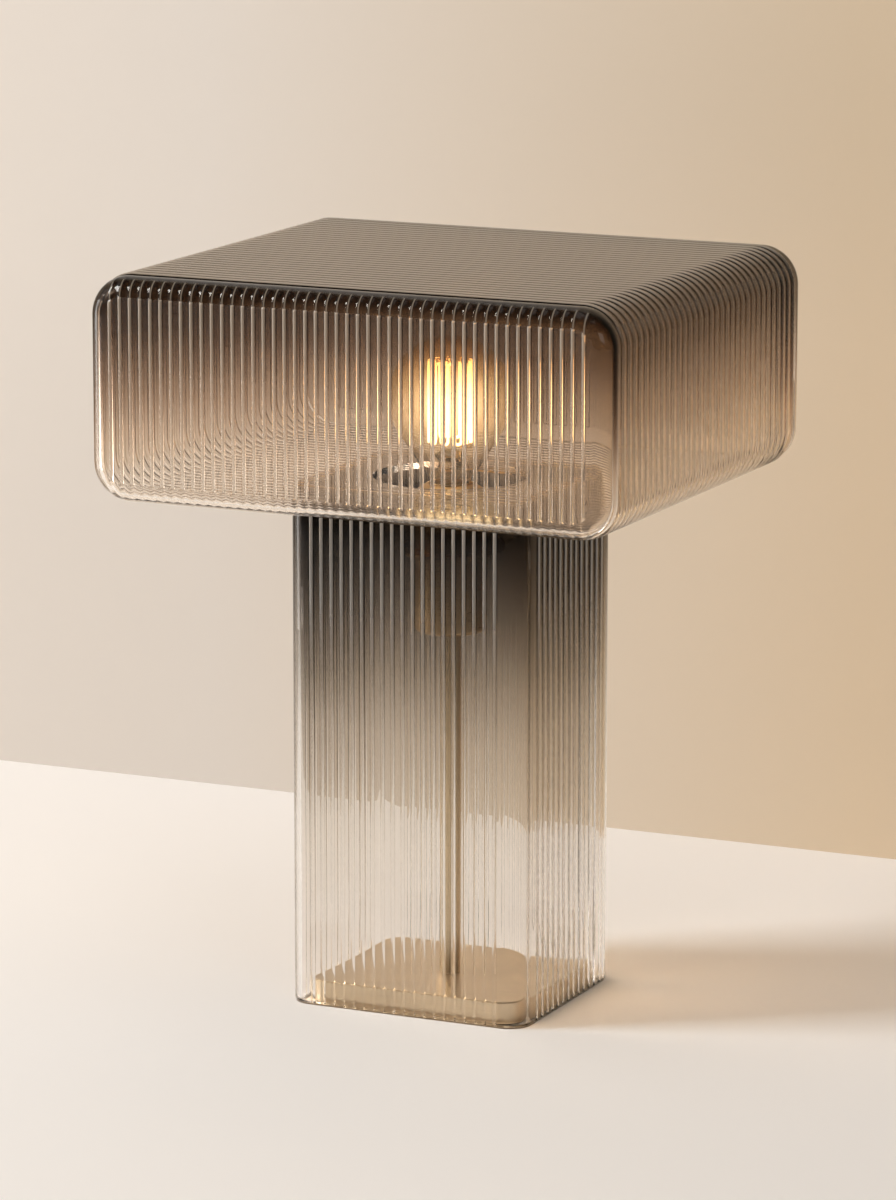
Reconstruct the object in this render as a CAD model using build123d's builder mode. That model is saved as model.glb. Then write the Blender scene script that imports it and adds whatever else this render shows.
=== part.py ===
from build123d import *
from math import asin, atan2, cos, hypot, pi, sin, sqrt
import os

os.makedirs("parts", exist_ok=True)

# A table lamp: a wide ribbed glass shade on a square ribbed glass column, with a slim metal
# stem and a round bulb inside. Millimetres, +Z up, origin on the table under the middle of
# the base. The wide front of the shade faces -Y.

# Glass column, which stands on the table around the base
foot_ring_thickness = 1.0
column_height = 332.2
column_width = 166.0
column_depth = 147.0
column_corner_radius = 15.5
column_wall = 4.5
top_gasket_thickness = 1.5
gasket_inset = 0.6

# Glass shade; its outside sizes are taken over the ribs
shade_width = 358.0
shade_depth = 320.0
shade_height = 145.0
shade_wall = 4.0
shade_corner_radius = 25.0
shade_edge_radius = 12.0
panel_straight = 1.0
shade_opening_radius = 50.0
seat_gap = 0.3
locating_ring_height = 4.0
locating_ring_wall = 3.0
locating_ring_clearance = 1.2

# Half-round ribs that stand out of the glass
rib_height = 1.2
rib_radius = 1.4
rib_root = 0.6
panel_rib_pitch = 7.14
ring_rib_radius = 2.4
ring_rib_pitch = 8.7
column_front_rib_pitch = 7.1
column_side_rib_pitch = 8.3

# Base plate with a pad under it
felt_thickness = 1.0
felt_inset = 1.5
plate_side_gap = 5.5
plate_front_gap = 5.0
plate_width = column_width - 2 * column_wall - 2 * plate_side_gap
plate_depth = column_depth - 2 * column_wall - 2 * plate_front_gap
plate_thickness = 14.0
plate_corner_radius = 14.0
plate_edge_chamfer = 0.8
recess_radius = 28.0
recess_depth = 10.5
cord_way_radius = 4.6
cord_way_height = 4.6

# Rubber inlet bush for the cord, in the rear edge of the plate
grommet_length = 10.0
grommet_clearance = 0.05
cord_bore_radius = 3.1
grommet_lip_radius = 5.2
grommet_lip_thickness = 1.5
column_notch_clearance = 1.0

# Stem: a visible tube over a threaded tube that carries the wires
stem_length = 224.0
stem_radius = 6.8
stem_bore_radius = 5.2
thread_radius = 5.0
thread_bore_radius = 3.5
thread_clearance = 0.05
thread_below_nut = 0.5
nut_across_flats = 14.0
nut_thickness = 5.0
washer_radius = 9.0
washer_thickness = 1.0

# Lampholder cover: cup, wide disc, sleeve and flared top
cup_height = 49.0
cup_radius = 23.25
cover_wall = 1.2
cup_floor = 2.0
cup_edge_radius = 3.0
collar_radius = 25.0
collar_height = 5.0
collar_clearance = 0.05
disc_radius = 32.0
disc_thickness = 3.0
disc_edge_radius = 0.6
spigot_clearance = 0.1
sleeve_height = 35.0
sleeve_radius = 23.5
saucer_height = 9.0
saucer_rim_radius = 25.0
saucer_rim_height = 2.6
saucer_mouth_radius = 14.4

# Bracket between the threaded tube and the porcelain
bracket_thickness = 1.5
bracket_width = 12.0
bracket_height = 22.0
bracket_half_span = 9.0
bracket_foot_reach = 18.0
bracket_boss_radius = 7.5
bracket_boss_height = 6.0
thread_above_bracket = 2.5
bracket_screw_place = 14.5
screw_radius = 1.5
screw_clearance = 0.1
screw_head_radius = 2.8
screw_head_height = 1.8
bracket_screw_length = 8.0

# Porcelain insert with the screw shell and contacts
porcelain_rise = 1.0
porcelain_height = 33.0
porcelain_clearance = 0.35
porcelain_floor = 10.0
shell_ledge = 2.0
shell_ledge_width = 2.0
shell_radius = 13.9
shell_wall = 0.4
shell_seat_clearance = 0.05
shell_lowering = 1.0
contact_thickness = 0.5
contact_width = 7.0
contact_reach = 8.0
terminal_size = 8.0
terminal_place = 13.0
terminal_screw_length = 4.0

# Inner wires
wire_radius = 1.1
wire_place = 1.6
wire_bend_radius = 3.0
wire_above_felt = 0.5
wire_tail = 12.0
wire_above_thread = 3.5
block_length = 12.0
block_width = 18.0

# Screw-in round bulb
bulb_radius = 40.0
bulb_total_height = 121.5
bulb_wall = 0.8
bulb_shoulder_radius = 14.3
bulb_shoulder_rise = 2.2
bulb_neck_gap = 0.5
cap_height = 27.0
cap_crest_radius = 13.15
cap_root_radius = 12.3
cap_wall = 0.4
cap_neck_clearance = 0.2
cap_neck_overlap = 8.0
thread_pitch = 3.629
thread_turns = 4
thread_top_margin = 4.0
cap_insulator_height = 4.0
cap_insulator_top_radius = 10.6
cap_tip_radius = 4.8
cap_tip_height = 1.6
contact_gap = 0.3

# Inside the bulb
mount_radius = 7.5
mount_foot_radius = 10.4
mount_foot_height = 2.0
mount_collar_radius = 11.0
mount_collar_place = 22.0
mount_top_radius = 5.0
mount_height = 29.0
filament_cage_radius = 14.2
filament_wire_radius = 0.55
filament_bend_radius = 1.9
filament_uprights = 20
filament_low = 28.0
filament_high = 23.5
post_radius = 1.6
support_wire_radius = 0.35
support_hub_radius = 3.2
support_hub_height = 2.4
support_gap = 0.35
lead_wire_radius = 0.5
lead_wire_place = 3.6
lead_wire_rise = 2.5
lead_wire_bend = 1.2


# Heights worked out from the sizes above
column_bottom = foot_ring_thickness
column_top = column_bottom + column_height
gasket_top = column_top + top_gasket_thickness
shade_bottom = gasket_top + seat_gap
shade_middle = shade_bottom + shade_height / 2

plate_bottom = felt_thickness
plate_top = plate_bottom + plate_thickness
recess_top = plate_bottom + recess_depth

cup_bottom = plate_top + stem_length
cup_top = cup_bottom + cup_height
disc_top = cup_top + disc_thickness
sleeve_top = disc_top + sleeve_height
saucer_top = sleeve_top + saucer_height

porcelain_top = sleeve_top + porcelain_rise
porcelain_bottom = porcelain_top - porcelain_height
shell_seat = porcelain_bottom + porcelain_floor + shell_ledge
bracket_bottom = porcelain_bottom - bracket_height
thread_top = bracket_bottom + bracket_thickness + thread_above_bracket

bulb_tip = saucer_top + porcelain_rise - cap_height
cap_top = bulb_tip + cap_height
bulb_centre = bulb_tip + bulb_total_height - bulb_radius
contact_top = bulb_tip - contact_gap

# Smooth glass sizes, without the ribs
glass_width = shade_width - 2 * rib_height
glass_depth = shade_depth - 2 * rib_height
glass_height = shade_height - 2 * rib_height
panel_depth = shade_edge_radius + panel_straight
band_length = glass_depth - 2 * panel_depth


def rib_places(length, pitch):
    """Evenly spaced places, centred on zero, as many as fit on the length."""
    count = int(length / pitch)
    return [(index - (count - 1) / 2) * pitch for index in range(count)]


def save(piece, name):
    piece.part.label = name
    export_step(piece.part, f"parts/{name}.step")


# Glass column
column_front_flat = column_width - 2 * column_corner_radius
column_side_flat = column_depth - 2 * column_corner_radius
rib_sink = rib_radius - rib_height
notch_radius = cord_way_radius + column_notch_clearance
cord_axis = plate_bottom + cord_way_height

with BuildPart() as cord_notch:
    with BuildSketch(Plane.XZ.offset(-column_depth)):
        with Locations((0, cord_axis)):
            Circle(notch_radius)
        with Locations((0, cord_axis / 2)):
            Rectangle(2 * notch_radius, cord_axis)
    extrude(amount=column_depth - plate_depth / 2 - grommet_lip_thickness)

with BuildPart() as column_glass:
    with BuildSketch(Plane.XY.offset(column_bottom)):
        RectangleRounded(column_width, column_depth, column_corner_radius)
        for place in rib_places(column_front_flat, column_front_rib_pitch):
            for side in (-1, 1):
                with Locations((place, side * (column_depth / 2 - rib_sink))):
                    Circle(rib_radius)
        for place in rib_places(column_side_flat, column_side_rib_pitch):
            for side in (-1, 1):
                with Locations((side * (column_width / 2 - rib_sink), place)):
                    Circle(rib_radius)
        RectangleRounded(
            column_width - 2 * column_wall,
            column_depth - 2 * column_wall,
            column_corner_radius - column_wall,
            mode=Mode.SUBTRACT,
        )
    extrude(amount=column_height)
    add(cord_notch.part, mode=Mode.SUBTRACT)
save(column_glass, "column_glass")


def edge_ring(height, thickness):
    """A flat clear ring under or on top of the column's wall."""
    with BuildPart() as ring:
        with BuildSketch(Plane.XY.offset(height)):
            RectangleRounded(
                column_width - 2 * gasket_inset,
                column_depth - 2 * gasket_inset,
                column_corner_radius - gasket_inset,
            )
            RectangleRounded(
                column_width - 2 * column_wall,
                column_depth - 2 * column_wall,
                column_corner_radius - column_wall,
                mode=Mode.SUBTRACT,
            )
        extrude(amount=thickness)
    return ring


with BuildPart() as column_foot_ring:
    add(edge_ring(0, foot_ring_thickness).part)
    add(cord_notch.part, mode=Mode.SUBTRACT)
save(column_foot_ring, "column_foot_ring")

column_top_gasket = edge_ring(column_top, top_gasket_thickness)
save(column_top_gasket, "column_top_gasket")

# Glass shade
# The band is one beaded strip carried once round a rounded rectangle. At the start of its path
# the strip's own second axis points into the glass.
ring_sink = ring_rib_radius - rib_height

with BuildSketch(Plane.XZ) as band_outline:
    with Locations((0, shade_middle)):
        RectangleRounded(glass_width, glass_height, shade_corner_radius)
band_path = band_outline.sketch.face().outer_wire()
band_start = Plane(origin=band_path @ 0, x_dir=(0, 1, 0), z_dir=band_path % 0)

with BuildPart() as shade_band:
    with BuildSketch(band_start):
        with Locations((0, shade_wall / 2)):
            Rectangle(band_length, shade_wall)
        for place in rib_places(band_length, ring_rib_pitch):
            with Locations((place, ring_sink)):
                Circle(ring_rib_radius)
    sweep(path=band_path)
    with BuildSketch(Plane.XY.offset(shade_bottom - rib_height)):
        Circle(shade_opening_radius)
    extrude(amount=shade_wall + 3 * rib_height, mode=Mode.SUBTRACT)
save(shade_band, "shade_band")

panel_face = glass_depth / 2
flat_width = glass_width - 2 * shade_edge_radius
flat_height = glass_height - 2 * shade_edge_radius
flat_radius = shade_corner_radius - shade_edge_radius

with BuildPart() as panel_ribs:
    with BuildSketch(Plane.XY.offset(shade_middle - flat_height / 2)):
        for place in rib_places(flat_width, panel_rib_pitch):
            with Locations((place, -panel_face + rib_sink)):
                Circle(rib_radius)
    extrude(amount=flat_height)

with BuildPart() as rib_field:
    with BuildSketch(Plane.XZ.offset(panel_face - rib_root)):
        with Locations((0, shade_middle)):
            RectangleRounded(flat_width, flat_height, flat_radius)
    extrude(amount=rib_root + rib_height)
    fillet(rib_field.edges().group_by(Axis.Y)[0], radius=rib_height * 0.9)

with BuildPart() as shade_front_panel:
    with BuildSketch(Plane.XZ.offset(band_length / 2)):
        with Locations((0, shade_middle)):
            RectangleRounded(glass_width, glass_height, shade_corner_radius)
    extrude(amount=panel_depth)
    fillet(shade_front_panel.edges().group_by(Axis.Y)[0], radius=shade_edge_radius)
    seam_face = shade_front_panel.faces().sort_by(Axis.Y)[-1]
    offset(amount=-shade_wall, openings=seam_face)
    add(panel_ribs.part & rib_field.part)
save(shade_front_panel, "shade_front_panel")

with BuildPart() as shade_back_panel:
    add(mirror(shade_front_panel.part, about=Plane.XZ))
save(shade_back_panel, "shade_back_panel")

ring_outer_width = column_width - 2 * column_wall - 2 * locating_ring_clearance
ring_outer_depth = column_depth - 2 * column_wall - 2 * locating_ring_clearance
ring_outer_radius = column_corner_radius - column_wall - locating_ring_clearance

with BuildPart() as locating_ring:
    with BuildSketch(Plane.XY.offset(shade_bottom - locating_ring_height)):
        RectangleRounded(ring_outer_width, ring_outer_depth, ring_outer_radius)
        RectangleRounded(
            ring_outer_width - 2 * locating_ring_wall,
            ring_outer_depth - 2 * locating_ring_wall,
            ring_outer_radius - locating_ring_wall,
            mode=Mode.SUBTRACT,
        )
    extrude(amount=locating_ring_height)
save(locating_ring, "locating_ring")

# Base
with BuildPart() as cord_way:
    with BuildSketch(Plane.XZ.offset(-plate_depth)):
        with Locations((0, cord_axis)):
            Circle(cord_way_radius)
        with Locations((0, plate_bottom + cord_way_height / 2)):
            Rectangle(2 * cord_way_radius, cord_way_height)
    extrude(amount=plate_depth)

with BuildPart() as base_plate:
    with BuildSketch(Plane.XY.offset(plate_bottom)):
        RectangleRounded(plate_width, plate_depth, plate_corner_radius)
    extrude(amount=plate_thickness)
    chamfer(base_plate.edges().group_by(Axis.Z)[-1], length=plate_edge_chamfer)
    with BuildSketch(Plane.XY.offset(plate_bottom)):
        Circle(recess_radius)
    extrude(amount=recess_depth, mode=Mode.SUBTRACT)
    with BuildSketch(Plane.XY.offset(plate_bottom)):
        Circle(thread_radius + thread_clearance)
    extrude(amount=plate_thickness, mode=Mode.SUBTRACT)
    add(cord_way.part, mode=Mode.SUBTRACT)
save(base_plate, "base_plate")

with BuildPart() as base_felt:
    with BuildSketch():
        RectangleRounded(
            plate_width - 2 * felt_inset,
            plate_depth - 2 * felt_inset,
            plate_corner_radius - felt_inset,
        )
    extrude(amount=felt_thickness)
save(base_felt, "base_felt")

bush_radius = cord_way_radius - grommet_clearance
bush_drop = cord_way_height - grommet_clearance

with BuildPart() as cord_grommet:
    with BuildSketch(Plane.XZ.offset(-plate_depth / 2)):
        with Locations((0, cord_axis)):
            Circle(bush_radius)
        with Locations((0, cord_axis - bush_drop / 2)):
            Rectangle(2 * bush_radius, bush_drop)
    extrude(amount=grommet_length)
    with BuildSketch(Plane.XZ.offset(-plate_depth / 2)):
        with Locations((0, cord_axis)):
            Circle(grommet_lip_radius)
        with Locations((0, cord_axis - grommet_lip_radius)):
            Rectangle(
                2 * grommet_lip_radius,
                2 * (grommet_lip_radius - bush_drop),
                mode=Mode.SUBTRACT,
            )
    extrude(amount=-grommet_lip_thickness)
    with BuildSketch(Plane.XZ.offset(-plate_depth / 2 - grommet_lip_thickness)):
        with Locations((0, cord_axis)):
            Circle(cord_bore_radius)
    extrude(amount=grommet_length + grommet_lip_thickness, mode=Mode.SUBTRACT)
save(cord_grommet, "cord_grommet")

# Stem and its fasteners
washer_bore = thread_radius + thread_clearance
base_washer_bottom = recess_top - washer_thickness
base_nut_bottom = base_washer_bottom - nut_thickness
thread_bottom = base_nut_bottom - thread_below_nut
cup_washer_bottom = cup_bottom + cup_floor
cup_nut_bottom = cup_washer_bottom + washer_thickness


def hex_nut(height):
    with BuildPart() as nut:
        with BuildSketch(Plane.XY.offset(height)):
            RegularPolygon(nut_across_flats / 2, 6, major_radius=False)
            Circle(washer_bore, mode=Mode.SUBTRACT)
        extrude(amount=nut_thickness)
    return nut


def flat_washer(height):
    with BuildPart() as washer:
        with BuildSketch(Plane.XY.offset(height)):
            Circle(washer_radius)
            Circle(washer_bore, mode=Mode.SUBTRACT)
        extrude(amount=washer_thickness)
    return washer


save(flat_washer(base_washer_bottom), "base_washer")
save(hex_nut(base_nut_bottom), "base_nut")
save(flat_washer(cup_washer_bottom), "cup_washer")
save(hex_nut(cup_nut_bottom), "cup_nut")

with BuildPart() as threaded_tube:
    with BuildSketch(Plane.XY.offset(thread_bottom)):
        Circle(thread_radius)
        Circle(thread_bore_radius, mode=Mode.SUBTRACT)
    extrude(amount=thread_top - thread_bottom)
save(threaded_tube, "threaded_tube")

with BuildPart() as stem_tube:
    with BuildSketch(Plane.XY.offset(plate_top)):
        Circle(stem_radius)
        Circle(stem_bore_radius, mode=Mode.SUBTRACT)
    extrude(amount=stem_length)
save(stem_tube, "stem_tube")

# Lampholder cover
cup_bore_radius = cup_radius - cover_wall

with BuildPart() as holder_cup:
    with BuildSketch(Plane.XY.offset(cup_bottom)):
        Circle(cup_radius)
    extrude(amount=cup_height)
    fillet(holder_cup.edges().group_by(Axis.Z)[0], radius=cup_edge_radius)
    with BuildSketch(Plane.XY.offset(cup_bottom + cup_floor)):
        Circle(cup_bore_radius)
    extrude(amount=cup_height - cup_floor, mode=Mode.SUBTRACT)
    with BuildSketch(Plane.XY.offset(cup_bottom)):
        Circle(washer_bore)
    extrude(amount=cup_floor, mode=Mode.SUBTRACT)
save(holder_cup, "holder_cup")

with BuildPart() as holder_collar:
    with BuildSketch(Plane.XY.offset(cup_top - collar_height)):
        Circle(collar_radius)
        Circle(cup_radius + collar_clearance, mode=Mode.SUBTRACT)
    extrude(amount=collar_height)
save(holder_collar, "holder_collar")

spigot_radius = cup_bore_radius - spigot_clearance
sleeve_bore_radius = spigot_radius - cover_wall

with BuildPart() as holder_disc:
    with BuildSketch(Plane.XY.offset(cup_top)):
        Circle(disc_radius)
    extrude(amount=disc_thickness)
    fillet(holder_disc.edges(), radius=disc_edge_radius)
    with BuildSketch(Plane.XY.offset(cup_top)):
        Circle(spigot_radius + spigot_clearance)
    extrude(amount=disc_thickness, mode=Mode.SUBTRACT)
save(holder_disc, "holder_disc")

with BuildPart() as holder_sleeve:
    with BuildSketch(Plane.XY.offset(cup_top - collar_height)):
        Circle(spigot_radius)
    extrude(amount=collar_height + disc_thickness)
    with BuildSketch(Plane.XY.offset(disc_top)):
        Circle(sleeve_radius)
    extrude(amount=sleeve_height)
    with BuildSketch(Plane.XY.offset(cup_top - collar_height)):
        Circle(sleeve_bore_radius)
    extrude(amount=collar_height + disc_thickness + sleeve_height, mode=Mode.SUBTRACT)
save(holder_sleeve, "holder_sleeve")

with BuildPart() as holder_saucer:
    with BuildSketch(Plane.XZ):
        with BuildLine():
            Polyline(
                (sleeve_bore_radius, sleeve_top),
                (sleeve_radius, sleeve_top),
                (saucer_rim_radius, sleeve_top + saucer_rim_height / 2),
                (saucer_rim_radius, sleeve_top + saucer_rim_height),
                (saucer_mouth_radius + cover_wall, saucer_top),
                (saucer_mouth_radius, saucer_top),
                (saucer_mouth_radius, saucer_top - cover_wall),
                (sleeve_bore_radius, sleeve_top + saucer_rim_height),
                close=True,
            )
        make_face()
    revolve(axis=Axis.Z)
save(holder_saucer, "holder_saucer")

# Bracket and porcelain
foot_level = porcelain_bottom - bracket_thickness
screw_places = [(0, -bracket_screw_place), (0, bracket_screw_place)]

with BuildPart() as holder_bracket:
    with BuildSketch(Plane.YZ.offset(-bracket_width / 2)):
        with BuildLine():
            Polyline(
                (-bracket_foot_reach, foot_level),
                (-bracket_half_span, foot_level),
                (-bracket_half_span, bracket_bottom),
                (bracket_half_span, bracket_bottom),
                (bracket_half_span, foot_level),
                (bracket_foot_reach, foot_level),
                (bracket_foot_reach, porcelain_bottom),
                (bracket_half_span - bracket_thickness, porcelain_bottom),
                (bracket_half_span - bracket_thickness, bracket_bottom + bracket_thickness),
                (bracket_thickness - bracket_half_span, bracket_bottom + bracket_thickness),
                (bracket_thickness - bracket_half_span, porcelain_bottom),
                (-bracket_foot_reach, porcelain_bottom),
                close=True,
            )
        make_face()
    extrude(amount=bracket_width)
    with BuildSketch(Plane.XY.offset(bracket_bottom - bracket_boss_height)):
        Circle(bracket_boss_radius)
    extrude(amount=bracket_boss_height)
    with BuildSketch(Plane.XY.offset(bracket_bottom - bracket_boss_height)):
        Circle(washer_bore)
    extrude(amount=bracket_boss_height + bracket_thickness, mode=Mode.SUBTRACT)
    with BuildSketch(Plane.XY.offset(foot_level)):
        with Locations(*screw_places):
            Circle(screw_radius + screw_clearance)
    extrude(amount=bracket_thickness, mode=Mode.SUBTRACT)
save(holder_bracket, "holder_bracket")

with BuildPart() as bracket_screws:
    with BuildSketch(Plane.XY.offset(foot_level - screw_head_height)):
        with Locations(*screw_places):
            Circle(screw_head_radius)
    extrude(amount=screw_head_height)
    with BuildSketch(Plane.XY.offset(foot_level)):
        with Locations(*screw_places):
            Circle(screw_radius)
    extrude(amount=bracket_screw_length)
save(bracket_screws, "bracket_screws")

porcelain_radius = sleeve_bore_radius - porcelain_clearance

with BuildPart() as porcelain_insert:
    with BuildSketch(Plane.XY.offset(porcelain_bottom)):
        Circle(porcelain_radius)
    extrude(amount=porcelain_height)
    with BuildSketch(Plane.XY.offset(shell_seat)):
        Circle(shell_radius + shell_seat_clearance)
    extrude(amount=porcelain_height, mode=Mode.SUBTRACT)
    with BuildSketch(Plane.XY.offset(porcelain_bottom + porcelain_floor)):
        Circle(shell_radius - shell_ledge_width)
    extrude(amount=shell_ledge, mode=Mode.SUBTRACT)
    with BuildSketch(Plane.XY.offset(porcelain_bottom)):
        with Locations(*screw_places):
            Circle(screw_radius + screw_clearance)
    extrude(amount=bracket_screw_length, mode=Mode.SUBTRACT)
save(porcelain_insert, "porcelain_insert")

with BuildPart() as screw_shell:
    with BuildSketch(Plane.XY.offset(shell_seat)):
        Circle(shell_radius)
        Circle(shell_radius - shell_wall, mode=Mode.SUBTRACT)
    extrude(amount=porcelain_top - shell_lowering - shell_seat)
save(screw_shell, "screw_shell")

contact_floor = porcelain_bottom + porcelain_floor

with BuildPart() as centre_contact:
    with BuildSketch(Plane.XZ.offset(-contact_width / 2)):
        with BuildLine():
            Polyline(
                (-contact_reach, contact_floor),
                (contact_thickness, contact_floor),
                (contact_reach / 2, contact_top - contact_thickness),
                (contact_reach / 2, contact_top),
                (-contact_reach / 2, contact_top),
                (-contact_reach / 2, contact_top - contact_thickness),
                (contact_reach / 2 - contact_thickness, contact_top - contact_thickness),
                (0, contact_floor + contact_thickness),
                (-contact_reach, contact_floor + contact_thickness),
                close=True,
            )
        make_face()
    extrude(amount=contact_width)
save(centre_contact, "centre_contact")

terminal_bottom = porcelain_bottom - terminal_size
screw_side = terminal_place + terminal_size / 2

with BuildPart() as terminals:
    with BuildSketch(Plane.XY.offset(terminal_bottom)):
        with GridLocations(2 * terminal_place, 0, 2, 1):
            Rectangle(terminal_size, terminal_size)
    extrude(amount=terminal_size)
    for side in (-1, 1):
        with BuildSketch(Plane.YZ.offset(side * screw_side)):
            with Locations((0, porcelain_bottom - terminal_size / 2)):
                Circle(screw_radius + screw_clearance)
        extrude(amount=-side * terminal_screw_length, mode=Mode.SUBTRACT)
save(terminals, "terminals")

with BuildPart() as terminal_screws:
    for side in (-1, 1):
        with BuildSketch(Plane.YZ.offset(side * screw_side)):
            with Locations((0, porcelain_bottom - terminal_size / 2)):
                Circle(screw_radius)
        extrude(amount=-side * (terminal_screw_length - screw_clearance))
        with BuildSketch(Plane.YZ.offset(side * screw_side)):
            with Locations((0, porcelain_bottom - terminal_size / 2)):
                Circle(screw_head_radius)
        extrude(amount=side * screw_head_height)
save(terminal_screws, "terminal_screws")

# Inner wires
wire_low = plate_bottom + wire_above_felt + wire_radius
wire_high = thread_top + wire_above_thread


def inner_wire(side):
    """One insulated wire, up the threaded tube and out to its terminal."""
    with BuildPart() as wire:
        with BuildLine() as route:
            FilletPolyline(
                (side * wire_place, wire_tail, wire_low),
                (side * wire_place, 0, wire_low),
                (side * wire_place, 0, wire_high),
                (side * terminal_place, 0, wire_high),
                (side * terminal_place, 0, terminal_bottom),
                radius=wire_bend_radius,
            )
        with BuildSketch(Plane(origin=route.line @ 0, z_dir=route.line % 0)):
            Circle(wire_radius)
        sweep(path=route.wire())
    return wire


save(inner_wire(-1), "live_wire")
save(inner_wire(1), "neutral_wire")

with BuildPart() as cord_terminal_block:
    with BuildSketch(Plane.XY.offset(plate_bottom)):
        with Locations((0, wire_tail + block_length / 2)):
            Rectangle(block_width, block_length)
    extrude(amount=recess_depth)
save(cord_terminal_block, "cord_terminal_block")

# Bulb
neck_radius = cap_root_radius - cap_wall - cap_neck_clearance


def globe_outline(inset):
    """Half outline of the bulb's glass, neck to crown, made smaller by the inset."""
    ball = bulb_radius - inset
    shoulder = bulb_shoulder_radius - inset
    shoulder_height = cap_top + bulb_neck_gap + bulb_shoulder_rise
    drop = bulb_centre - shoulder_height
    reach = hypot(shoulder, drop)
    lean = atan2(shoulder, drop)
    turn = asin(ball / reach)
    angle = lean - turn
    touch_x = ball * cos(angle)
    touch_z = bulb_centre + ball * sin(angle)
    Polyline(
        (0, cap_top - cap_neck_overlap),
        (neck_radius - inset, cap_top - cap_neck_overlap),
        (neck_radius - inset, cap_top + bulb_neck_gap),
        (shoulder, shoulder_height),
        (touch_x, touch_z),
    )
    ThreePointArc(
        (touch_x, touch_z),
        (ball * cos(pi / 4), bulb_centre + ball * sin(pi / 4)),
        (0, bulb_centre + ball),
    )
    Line((0, bulb_centre + ball), (0, cap_top - cap_neck_overlap))


with BuildPart() as bulb_globe:
    with BuildSketch(Plane.XZ):
        with BuildLine():
            globe_outline(0)
        make_face()
    revolve(axis=Axis.Z)
    with BuildSketch(Plane.XZ):
        with BuildLine():
            globe_outline(bulb_wall)
        make_face()
    revolve(axis=Axis.Z, mode=Mode.SUBTRACT)
save(bulb_globe, "bulb_globe")

insulator_bottom = bulb_tip + cap_tip_height
insulator_top = insulator_bottom + cap_insulator_height
wave_bottom = cap_top - thread_top_margin - thread_turns * thread_pitch


def cap_outline(inset):
    """Outline of the cap's rolled thread, as a row of crests and roots."""
    low = [(cap_insulator_top_radius - inset, insulator_top), (cap_root_radius - inset, wave_bottom)]
    high = [(cap_root_radius - inset, cap_top - thread_top_margin), (cap_root_radius - inset, cap_top)]
    wave = []
    for turn in range(thread_turns):
        root = wave_bottom + turn * thread_pitch
        wave.append((cap_root_radius - inset, root + 0.15 * thread_pitch))
        wave.append((cap_crest_radius - inset, root + 0.40 * thread_pitch))
        wave.append((cap_crest_radius - inset, root + 0.60 * thread_pitch))
        wave.append((cap_root_radius - inset, root + 0.85 * thread_pitch))
    return low + wave + high


with BuildPart() as bulb_cap:
    with BuildSketch(Plane.XZ):
        with BuildLine():
            Polyline(*cap_outline(0), *reversed(cap_outline(cap_wall)), close=True)
        make_face()
    revolve(axis=Axis.Z)
save(bulb_cap, "bulb_cap")

with BuildPart() as bulb_insulator:
    with BuildSketch(Plane.XZ):
        with BuildLine():
            Polyline(
                (0, insulator_bottom),
                (cap_tip_radius + cap_wall, insulator_bottom),
                (cap_insulator_top_radius - cap_wall, insulator_top),
                (0, insulator_top),
                close=True,
            )
        make_face()
    revolve(axis=Axis.Z)
save(bulb_insulator, "bulb_insulator")

with BuildPart() as bulb_tip_contact:
    with BuildSketch(Plane.XZ):
        with BuildLine():
            Polyline((0, bulb_tip), (0, insulator_bottom), (cap_tip_radius, insulator_bottom))
            TangentArc((0, bulb_tip), (cap_tip_radius, insulator_bottom), tangent=(1, 0))
        make_face()
    revolve(axis=Axis.Z)
save(bulb_tip_contact, "bulb_tip_contact")

mount_bottom = cap_top - cap_neck_overlap
collar_level = mount_bottom + mount_collar_place
mount_top = mount_bottom + mount_height

with BuildPart() as glass_mount:
    with BuildSketch(Plane.XZ):
        with BuildLine():
            Polyline(
                (0, mount_bottom),
                (mount_foot_radius, mount_bottom),
                (mount_foot_radius, mount_bottom + mount_foot_height),
                (mount_radius, mount_bottom + 2 * mount_foot_height),
                (mount_radius, collar_level),
                (mount_collar_radius, (collar_level + mount_top) / 2),
                (mount_top_radius, mount_top),
                (0, mount_top),
                close=True,
            )
        make_face()
    revolve(axis=Axis.Z)
save(glass_mount, "glass_mount")

cage_bottom = bulb_centre - filament_low
cage_top = bulb_centre + filament_high
upright_step = 2 * pi / filament_uprights


def cage_point(index, height, radius=filament_cage_radius):
    return (radius * cos(index * upright_step), radius * sin(index * upright_step), height)


cage_points = []
for index in range(filament_uprights):
    going_up = index % 2 == 0
    cage_points.append(cage_point(index, cage_bottom if going_up else cage_top))
    cage_points.append(cage_point(index, cage_top if going_up else cage_bottom))

with BuildPart() as bulb_filament:
    with BuildLine() as filament_route:
        FilletPolyline(*cage_points, radius=filament_bend_radius)
    with BuildSketch(Plane(origin=filament_route.line @ 0, z_dir=filament_route.line % 0)):
        Circle(filament_wire_radius)
    sweep(path=filament_route.wire())
save(bulb_filament, "bulb_filament")

with BuildPart() as filament_post:
    with BuildSketch(Plane.XY.offset(mount_top)):
        Circle(post_radius)
    extrude(amount=cage_top - mount_top)
    with BuildSketch(Plane.XY.offset(cage_top)):
        Circle(support_hub_radius)
    extrude(amount=support_hub_height)
    fillet(filament_post.edges().group_by(Axis.Z)[-1], radius=support_hub_height / 3)
save(filament_post, "filament_post")

support_reach = filament_cage_radius - filament_wire_radius - support_gap


def support_wires(height, hub_radius, first):
    """Short straight wires that reach from the hub to every second bend of the filament."""
    with BuildPart() as wires:
        for index in range(first, filament_uprights - 1, 2):
            turn = (index + 0.5) * 360 / filament_uprights
            spoke = Plane(Location((0, 0, height), (0, 0, turn)) * Location((0, 0, 0), (0, 90, 0)))
            with BuildSketch(spoke.offset(hub_radius)):
                Circle(support_wire_radius)
            extrude(amount=support_reach - hub_radius)
    return wires


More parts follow.
